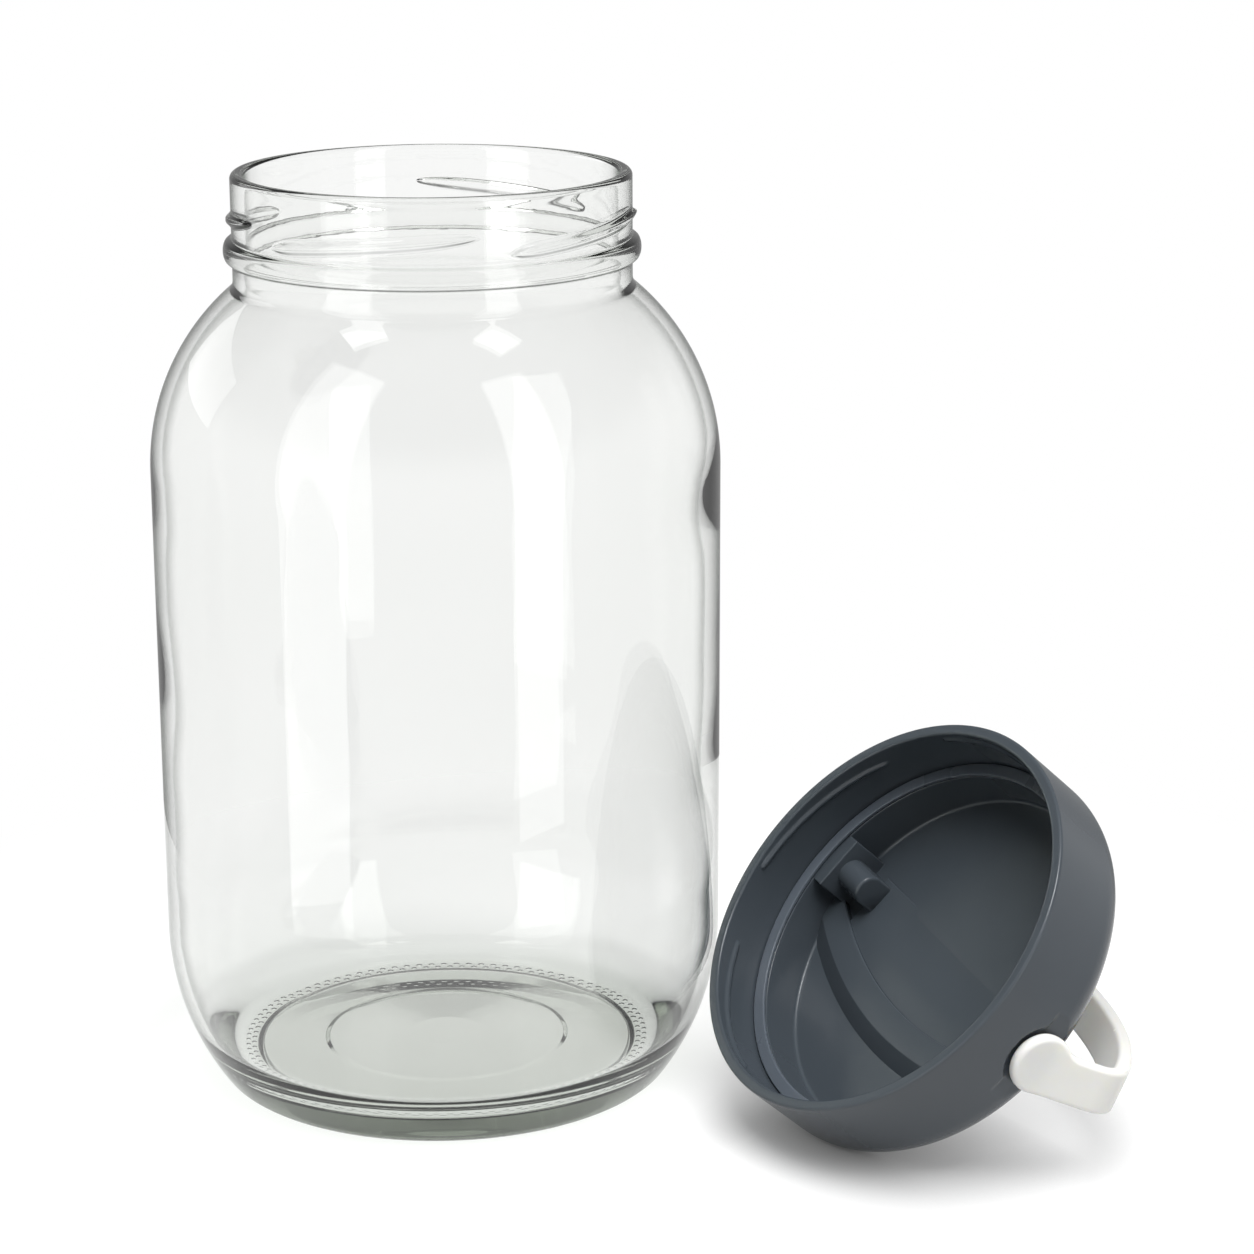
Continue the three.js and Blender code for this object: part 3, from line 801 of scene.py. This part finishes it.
def risen(tree, value, low, high):
    """A smooth rise from 0 at low to 1 at high."""
    node = new_node(tree, "MapRange", From_Min=low, From_Max=high)
    node.interpolation_type = "SMOOTHSTEP"
    link(tree, value, node.inputs["Value"])
    return node.outputs["Result"]


def noise(tree, place, scale, detail, distortion=0.0):
    """An uneven value between 0 and 1 over the surface."""
    node = new_node(tree, "TexNoise", Detail=detail, Distortion=distortion)
    link(tree, place, node.inputs["Vector"])
    feed(tree, scale, node.inputs["Scale"])
    return node.outputs["Fac"]


def tinted(tree, factor, colour, tint, blend="MIX"):
    """The colour, mixed with or multiplied by a tint as far as the factor says."""
    node = new_node(tree, "Mix")
    node.data_type = "RGBA"
    node.blend_type = blend
    link(tree, factor, node.inputs["Factor"])
    node.inputs["B"].default_value = tint
    if isinstance(colour, tuple):
        node.inputs["A"].default_value = colour
    else:
        link(tree, colour, node.inputs["A"])
    return node.outputs["Result"]


def relief_normal(tree, height, depth):
    """The surface's normal over a relief whose height of 1 stands as high as the depth."""
    node = new_node(tree, "Bump", Strength=1.0, Distance=depth)
    link(tree, height, node.inputs["Height"])
    return node.outputs["Normal"]


def moulded_skin_group():
    """The skin of moulded plastic: cloudy colour, uneven gloss and a very fine grain."""
    group = bpy.data.node_groups.new("Moulded skin", "ShaderNodeTree")
    socket(group, "Colour", "INPUT", "NodeSocketColor", (0.5, 0.5, 0.5, 1))
    for name, value in (
        ("Cloudiness", 0.05), ("Cloud size", 60.0), ("Roughness", 0.3), ("Gloss change", 0.05),
        ("Grain size", 1800.0), ("Grain", 0.3), ("Sink marks", 0.4),
    ):
        socket(group, name, "INPUT", value=value)
    socket(group, "Colour", "OUTPUT", "NodeSocketColor")
    socket(group, "Roughness", "OUTPUT")
    socket(group, "Height", "OUTPUT")
    given = group.nodes.new("NodeGroupInput").outputs
    result = group.nodes.new("NodeGroupOutput").inputs
    where = new_node(group, "TexCoord").outputs["Object"]
    clouds = noise(group, where, given["Cloud size"], detail=3)
    centred = maths(group, "SUBTRACT", clouds, 0.5)
    shade = maths(group, "MULTIPLY_ADD", centred, given["Cloudiness"], 1.0)
    clouded = new_node(group, "VectorMath")
    clouded.operation = "SCALE"
    link(group, given["Colour"], clouded.inputs[0])
    link(group, shade, clouded.inputs["Scale"])
    link(group, clouded.outputs[0], result["Colour"])
    gloss = maths(group, "MULTIPLY_ADD", centred, given["Gloss change"], given["Roughness"])
    link(group, gloss, result["Roughness"])
    grain = noise(group, where, given["Grain size"], detail=1)
    fine = maths(group, "MULTIPLY", grain, given["Grain"])
    sinks = maths(group, "MULTIPLY_ADD", clouds, given["Sink marks"], fine)
    link(group, sinks, result["Height"])
    return group


def moulded_plastic(name, group, colour, roughness, settings):
    """A moulded plastic whose skin comes from the shared group, with its own values."""
    grain_depth = 0.04 * MILLIMETRE
    material, tree = new_material(name)
    shader = tree.nodes["Principled BSDF"]
    shader.inputs["IOR"].default_value = 1.47
    skin = new_node(tree, "Group")
    skin.node_tree = group
    set_inputs(skin, {"Colour": (*colour, 1), "Roughness": roughness, **settings})
    link(tree, skin.outputs["Colour"], shader.inputs["Base Color"])
    link(tree, skin.outputs["Roughness"], shader.inputs["Roughness"])
    normal = relief_normal(tree, skin.outputs["Height"], grain_depth)
    link(tree, normal, shader.inputs["Normal"])
    return material


def white_handle_plastic(group):
    """White plastic that light sinks into a little."""
    material = moulded_plastic("White plastic", group, (0.87, 0.865, 0.83), 0.26, {
        "Cloudiness": 0.03, "Gloss change": 0.06, "Grain": 0.15, "Sink marks": 2.0,
    })
    set_inputs(material.node_tree.nodes["Principled BSDF"], {
        "Subsurface Weight": 0.35, "Subsurface Radius": (1.0, 0.85, 0.6),
        "Subsurface Scale": 0.004,
    })
    return material


def foot_dots(group, given, angle, radius, height):
    """Two rows of small round dots on the foot ring, the outer row half a pitch round."""
    rows = ((-0.0011, 0.0), (0.0012, 0.5))
    dot_side_share = 0.7
    foot_low, foot_high = 0.0006, 0.0014
    turns = maths(group, "DIVIDE", maths(group, "MULTIPLY", angle, given["Dot count"]), 2 * math.pi)
    around = maths(group, "MULTIPLY", given["Dot ring radius"], 2 * math.pi)
    pitch = maths(group, "DIVIDE", around, given["Dot count"])
    raised = []
    for row_offset, turn_offset in rows:
        turn = maths(group, "FRACT", maths(group, "ADD", turns, turn_offset))
        along = maths(group, "MULTIPLY", maths(group, "SUBTRACT", turn, 0.5), pitch)
        ring = maths(group, "ADD", given["Dot ring radius"], row_offset)
        across = maths(group, "SUBTRACT", radius, ring)
        across_squared = maths(group, "MULTIPLY", across, across)
        away = maths(group, "SQRT", maths(group, "MULTIPLY_ADD", along, along, across_squared))
        inside = opposite(group, maths(group, "DIVIDE", away, given["Dot radius"]))
        raised.append(risen(group, inside, 0.0, dot_side_share))
    near_foot = opposite(group, risen(group, height, foot_low, foot_high))
    return maths(group, "MULTIPLY", maths(group, "MAXIMUM", *raised), near_foot)


def pressed_glass_group():
    """The relief of pressed glass: dots on the foot ring, wrinkles in the neck and a slow wave."""
    group = bpy.data.node_groups.new("Pressed glass relief", "ShaderNodeTree")
    socket(group, "Place", "INPUT", "NodeSocketVector")
    for name, value in (
        ("Dot count", 96.0), ("Dot ring radius", 0.0565), ("Dot radius", 0.001),
        ("Neck height", 0.21), ("Wrinkles", 0.2), ("Wave", 0.1),
    ):
        socket(group, name, "INPUT", value=value)
    socket(group, "Height", "OUTPUT")
    wrinkle_stretch = (1.0, 1.0, 3.2)
    wrinkle_rise = 0.02
    given = group.nodes.new("NodeGroupInput").outputs
    result = group.nodes.new("NodeGroupOutput").inputs
    apart = new_node(group, "SeparateXYZ")
    link(group, given["Place"], apart.inputs[0])
    x, y, z = (apart.outputs[i] for i in range(3))
    angle = maths(group, "ARCTAN2", y, x)
    squared = maths(group, "MULTIPLY_ADD", x, x, maths(group, "MULTIPLY", y, y))
    dots = foot_dots(group, given, angle, maths(group, "SQRT", squared), z)
    stretched = vector_maths(group, "MULTIPLY", given["Place"], wrinkle_stretch)
    wrinkle = noise(group, stretched, 95, detail=2, distortion=0.6)
    above_shoulder = maths(group, "SUBTRACT", z, given["Neck height"])
    on_neck = risen(group, above_shoulder, 0.0, wrinkle_rise)
    wrinkles = maths(group, "MULTIPLY", maths(group, "MULTIPLY", wrinkle, on_neck), given["Wrinkles"])
    wave = noise(group, given["Place"], 22, detail=1)
    waves = maths(group, "MULTIPLY", wave, given["Wave"])
    height = maths(group, "ADD", dots, maths(group, "ADD", wrinkles, waves))
    link(group, height, result["Height"])
    return group


def glass_relief(tree, place):
    """The normal of the glass, from its pressed relief."""
    dot_height = 0.3 * MILLIMETRE
    relief = new_node(tree, "Group")
    relief.node_tree = pressed_glass_group()
    neck_height = (jar_height() - neck.length) * MILLIMETRE
    set_inputs(relief, {"Wrinkles": 0.03, "Neck height": neck_height})
    link(tree, place, relief.inputs["Place"])
    return relief_normal(tree, relief.outputs["Height"], dot_height)


def glass_colour(tree, place):
    """Nearly white glass with a painted dark edge where it is seen aslant, in place of dark surroundings
    refracted there, and greyer over its thick base.
    """
    clear, painted_edge_dark = (0.994, 0.995, 0.993, 1), (0.09, 0.105, 0.09, 1)
    slant_start, slant_full = 0.7, 0.9
    base_tint = (0.80, 0.81, 0.785, 1)
    base_top, base_clear = 0.0095, 0.0125
    heel_start, heel_full = 0.052, 0.058
    # Painted reflection: the colour turns near black where the glass is seen aslant, standing in for
    # dark surroundings seen through its edges.
    slant = new_node(tree, "LayerWeight", Blend=0.5)
    edge = risen(tree, slant.outputs["Facing"], slant_start, slant_full)
    colour = tinted(tree, edge, clear, painted_edge_dark)
    apart = new_node(tree, "SeparateXYZ")
    link(tree, place, apart.inputs[0])
    low = opposite(tree, risen(tree, apart.outputs["Z"], base_top, base_clear))
    from_axis = vector_maths(tree, "LENGTH", vector_maths(tree, "MULTIPLY", place, (1, 1, 0)))
    off_heel = opposite(tree, risen(tree, from_axis, heel_start, heel_full))
    over_base = maths(tree, "MULTIPLY", low, off_heel)
    return tinted(tree, over_base, colour, base_tint, blend="MULTIPLY")


def passes_light(tree):
    """1 for the rays that meet the glass as if it were not there: lamplight and the lid's gloss."""
    path = new_node(tree, "LightPath")
    lamp_ray = maths(tree, "MAXIMUM", path.outputs["Is Shadow Ray"], path.outputs["Is Diffuse Ray"])
    outside = maths(tree, "SUBTRACT", 1.0, path.outputs["Transmission Depth"], clamp=True)
    from_lid = maths(tree, "MULTIPLY", path.outputs["Is Glossy Ray"], outside)
    return maths(tree, "MAXIMUM", lamp_ray, from_lid)


def clear_glass(place):
    """Clear soda glass, faintly green where it is thick, that lets lamplight through as glass does."""
    material, tree = new_material("Clear glass")
    where = new_node(tree, "TexCoord").outputs["Object"]
    from_foot = vector_maths(tree, "SUBTRACT", where, place.translation)
    shader = tree.nodes["Principled BSDF"]
    set_inputs(shader, {"Roughness": 0.0, "IOR": 1.5, "Transmission Weight": 1.0})
    link(tree, glass_relief(tree, from_foot), shader.inputs["Normal"])
    link(tree, glass_colour(tree, from_foot), shader.inputs["Base Color"])
    absorbing = new_node(tree, "VolumeAbsorption", Color=(0.66, 0.69, 0.645, 1), Density=38)
    let_through = new_node(tree, "BsdfTransparent", Color=(0.93, 0.94, 0.93, 1))
    mixed = new_node(tree, "MixShader")
    link(tree, passes_light(tree), mixed.inputs["Fac"])
    link(tree, shader.outputs[0], mixed.inputs[1])
    link(tree, let_through.outputs[0], mixed.inputs[2])
    output = tree.nodes["Material Output"]
    link(tree, mixed.outputs[0], output.inputs["Surface"])
    link(tree, absorbing.outputs[0], output.inputs["Volume"])
    return material


# Where the pieces stand

def jar_place():
    low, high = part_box("glass_jar")
    return Matrix.Translation(((low.x + high.x) / 2, (low.y + high.y) / 2, low.z))


def lid_place():
    """The lid's axes, from the way its mouth faces, and its middle, from the handle's pivot."""
    hinge = next(joint for joint in frame["joints"] if joint["name"] == "handle_pivot")
    rise = math.radians(pose.mouth_rise_angle)
    turn = math.radians(pose.mouth_turn_angle)
    out = Vector((math.cos(rise) * math.cos(turn), math.cos(rise) * math.sin(turn), math.sin(rise)))
    level = Vector((0, 0, 1)).cross(out).normalized()
    across = Matrix.Rotation(math.radians(pose.pivot_turn_angle), 3, out) @ level
    up = -out
    axes = Matrix((across, up.cross(across), up)).transposed().to_4x4()
    centre = Vector(hinge["pos_m"]) - up * pivot.height * MILLIMETRE
    return Matrix.Translation(centre) @ axes


def handle_place(lid_matrix):
    to_pivot = Matrix.Translation((0, 0, pivot.height * MILLIMETRE))
    lean = Matrix.Rotation(math.radians(handle.lean_angle), 4, "X")
    return lid_matrix @ to_pivot @ lean


# Floor, light and camera

def floor_glow(tree, path, where, jar_middle, far):
    """How white the floor is seen: whitest at its edge, with a painted contact shadow close under the
    object and painted shade where it is seen through the glass.
    """
    seen_glow, through_glass_painted_shade = 0.62, 0.2
    contact_reach = 0.035
    foot_start, foot_clear = 0.075, 0.105
    # Painted contact shadow: the glow dims where ambient occlusion finds something close above, except
    # round the jar's foot.
    near = new_node(tree, "AmbientOcclusion", Distance=contact_reach)
    from_jar = vector_maths(tree, "DISTANCE", where, jar_middle)
    beside_jar = risen(tree, from_jar, foot_start, foot_clear)
    painted_contact_shadow = maths(tree, "MULTIPLY", opposite(tree, near.outputs["AO"]), beside_jar)
    glow = maths(tree, "MULTIPLY_ADD", far, 1 - seen_glow, seen_glow)
    glow = maths(tree, "MULTIPLY", glow, opposite(tree, painted_contact_shadow))
    # Painted shade: near the object, the glow dims where the floor is seen through glass.
    painted_glass_shade = maths(tree, "MULTIPLY", opposite(tree, far), path.outputs["Is Transmission Ray"])
    return maths(tree, "MULTIPLY", glow, maths(tree, "MULTIPLY_ADD", painted_glass_shade, -through_glass_painted_shade, 1.0))


def pale_floor_paint(jar_middle, radius):
    """Matt paint for the lamps' light, with a glow where it is seen that turns it white far out."""
    plain_albedo, seen_albedo = 0.6, 0.42
    fade_start = 0.17
    material, tree = new_material("Pale floor")
    tree.nodes.remove(tree.nodes["Principled BSDF"])
    path = new_node(tree, "LightPath")
    mirrored = maths(tree, "MAXIMUM", path.outputs["Is Glossy Ray"], path.outputs["Is Transmission Ray"])
    seen = maths(tree, "MAXIMUM", path.outputs["Is Camera Ray"], mirrored)
    where = new_node(tree, "TexCoord").outputs["Object"]
    far = risen(tree, vector_maths(tree, "LENGTH", where), fade_start, radius)
    albedo = new_node(tree, "Mix", A=plain_albedo)
    link(tree, maths(tree, "MULTIPLY_ADD", far, -seen_albedo, seen_albedo), albedo.inputs["B"])
    link(tree, seen, albedo.inputs["Factor"])
    matt = new_node(tree, "BsdfDiffuse")
    link(tree, albedo.outputs["Result"], matt.inputs["Color"])
    glow = new_node(tree, "Emission")
    glow_level = maths(tree, "MULTIPLY", seen, floor_glow(tree, path, where, jar_middle, far))
    link(tree, glow_level, glow.inputs["Strength"])
    both = new_node(tree, "AddShader")
    link(tree, matt.outputs[0], both.inputs[0])
    link(tree, glow.outputs[0], both.inputs[1])
    link(tree, both.outputs[0], tree.nodes["Material Output"].inputs["Surface"])
    return material


def pale_floor(jar_middle):
    """A plain pale floor that keeps the object's soft shadow from the lamps, with a painted contact
    shadow close under it.
    """
    radius, below_foot = 0.30, 0.0001
    shape = bmesh.new()
    bmesh.ops.create_circle(shape, cap_ends=True, radius=radius, segments=counts.floor)
    mesh = bpy.data.meshes.new("floor")
    shape.to_mesh(mesh)
    shape.free()
    mesh.transform(Matrix.Translation((0, 0, -below_foot)))
    mesh.materials.append(pale_floor_paint(jar_middle, radius))
    floor = bpy.data.objects.new("floor", mesh)
    bpy.context.scene.collection.objects.link(floor)


def studio_world():
    """White where it is seen, and a plain grey studio for light and gloss."""
    light = 0.16
    ceiling_start, ceiling_full, ceiling_loss = 0.15, 0.6, 0.8
    gloss_level, gloss_start, gloss_full, gloss_loss = 0.95, 0.1, 0.45, 0.62
    back_start, back_full, back_loss = 0.6, 0.85, 0.6
    world = bpy.data.worlds.new("Studio")
    bpy.context.scene.world = world
    world.use_nodes = True
    tree = world.node_tree
    background = tree.nodes["Background"]
    background.inputs["Color"].default_value = (1, 1, 1, 1)
    path = new_node(tree, "LightPath")
    apart = new_node(tree, "SeparateXYZ")
    link(tree, new_node(tree, "TexCoord").outputs["Generated"], apart.inputs[0])
    height, depth = apart.outputs["Z"], apart.outputs["Y"]
    ceiling = risen(tree, height, ceiling_start, ceiling_full)
    through = maths(tree, "MULTIPLY_ADD", ceiling, -ceiling_loss, 1.0)
    above = risen(tree, height, gloss_start, gloss_full)
    gloss = maths(tree, "MULTIPLY_ADD", above, -gloss_loss, gloss_level)
    behind = risen(tree, depth, back_start, back_full)
    gloss = maths(tree, "MULTIPLY", gloss, maths(tree, "MULTIPLY_ADD", behind, -back_loss, 1.0))
    passing = path.outputs["Is Transmission Ray"]
    mirrored = maths(tree, "SUBTRACT", path.outputs["Is Glossy Ray"], passing, clamp=True)
    seen = path.outputs["Is Camera Ray"]
    level = maths(tree, "MULTIPLY", passing, through)
    level = maths(tree, "MULTIPLY_ADD", mirrored, gloss, level)
    level = maths(tree, "MAXIMUM", level, seen)
    not_lit = maths(tree, "MAXIMUM", seen, maths(tree, "MAXIMUM", mirrored, passing))
    lit = maths(tree, "SUBTRACT", 1.0, not_lit, clamp=True)
    level = maths(tree, "MULTIPLY_ADD", lit, light, level)
    link(tree, level, background.inputs["Strength"])


def soft_box(
    name, azimuth, elevation, distance, size, radiance,
    lights=True, mirrored=True, seen_through=True, only_on=(),
):
    """A flat soft lamp that faces the object, at an angle round it from the camera's side."""
    aim = Vector((0, 0, 0.12))
    lamp = bpy.data.lights.new(name, "AREA")
    lamp.shape = "RECTANGLE"
    lamp.size, lamp.size_y = size
    lamp.energy = radiance * math.pi * size[0] * size[1]
    turn, rise = math.radians(azimuth), math.radians(elevation)
    out = Vector((math.cos(rise) * math.sin(turn), -math.cos(rise) * math.cos(turn), math.sin(rise)))
    box = bpy.data.objects.new(name, lamp)
    box.location = aim + distance * out
    box.rotation_euler = out.to_track_quat("Z", "Y").to_euler()
    box.visible_camera = False
    box.visible_diffuse = lights
    box.visible_glossy = mirrored
    box.visible_transmission = seen_through
    if only_on:
        lit = bpy.data.collections.new(name + " lights these")
        for piece in only_on:
            lit.objects.link(piece)
        box.light_linking.receiver_collection = lit
    bpy.context.scene.collection.objects.link(box)


def studio_lamps(lid_pieces):
    """Two tall panels beside the camera, lamps above, one behind, and one for the lid's edges."""
    soft_box(
        "left soft box", azimuth=-48.5, elevation=13.0, distance=1.34, size=(0.69, 2.5),
        radiance=1.5, lights=False,
    )
    soft_box(
        "right soft box", azimuth=41.5, elevation=13.0, distance=1.34, size=(0.50, 2.5),
        radiance=1.5, lights=False,
    )
    soft_box(
        "left top lamp", azimuth=-79.0, elevation=68.0, distance=1.3, size=(0.25, 0.25),
        radiance=2.6, lights=False,
    )
    soft_box(
        "right top lamp", azimuth=67.0, elevation=72.0, distance=1.3, size=(0.25, 0.25),
        radiance=2.6, lights=False,
    )
    soft_box(
        "back soft box", azimuth=-119.0, elevation=20.5, distance=1.3, size=(0.8, 0.39),
        radiance=1.2, seen_through=False,
    )
    soft_box(
        "key soft box", azimuth=25.0, elevation=68.0, distance=1.4, size=(1.2, 1.2),
        radiance=7.9, mirrored=False, seen_through=False,
    )
    soft_box(
        "edge lamp", azimuth=5.0, elevation=70.0, distance=1.3, size=(0.35, 0.35),
        radiance=24.0, lights=False, seen_through=False, only_on=lid_pieces,
    )


def camera_at_photo(jar_middle):
    """The photograph's camera, placed from the middle of the jar's foot."""
    sensor_width, focal_pixels, photo_pixels = 36, 3466, 1254
    from_jar = Vector((0.0524, -0.9208, 0.3801))
    tilt_down, roll = 15.39, 0.17
    view = bpy.data.cameras.new("camera")
    view.sensor_width = sensor_width
    view.lens = sensor_width * focal_pixels / photo_pixels
    camera = bpy.data.objects.new("camera", view)
    camera.location = jar_middle + from_jar
    camera.rotation_euler = (math.radians(90 - tilt_down), math.radians(roll), 0)
    bpy.context.scene.collection.objects.link(camera)
    bpy.context.scene.camera = camera


jar_matrix = jar_place()
lid_matrix = lid_place()
skin = moulded_skin_group()
slate_plastic = moulded_plastic("Slate plastic", skin, (0.053, 0.064, 0.076), 0.25, {
    "Cloudiness": 0.08, "Gloss change": 0.06, "Grain": 0.15, "Sink marks": 1.2,
})
seal_plastic = moulded_plastic("Seal plastic", skin, (0.095, 0.112, 0.135), 0.28, {
    "Cloudiness": 0.08, "Gloss change": 0.08, "Grain": 0.3, "Sink marks": 0.6,
})
white_plastic = white_handle_plastic(skin)
glass_jar_piece(jar_matrix)
lid_pieces = (lid_piece(lid_matrix, slate_plastic), seal_piece(lid_matrix, seal_plastic))
carry_handle_piece(handle_place(lid_matrix), white_plastic)

pale_floor(jar_matrix.translation)
studio_world()
studio_lamps(lid_pieces)
camera_at_photo(jar_matrix.translation)

bpy.context.scene.view_settings.view_transform = "Standard"
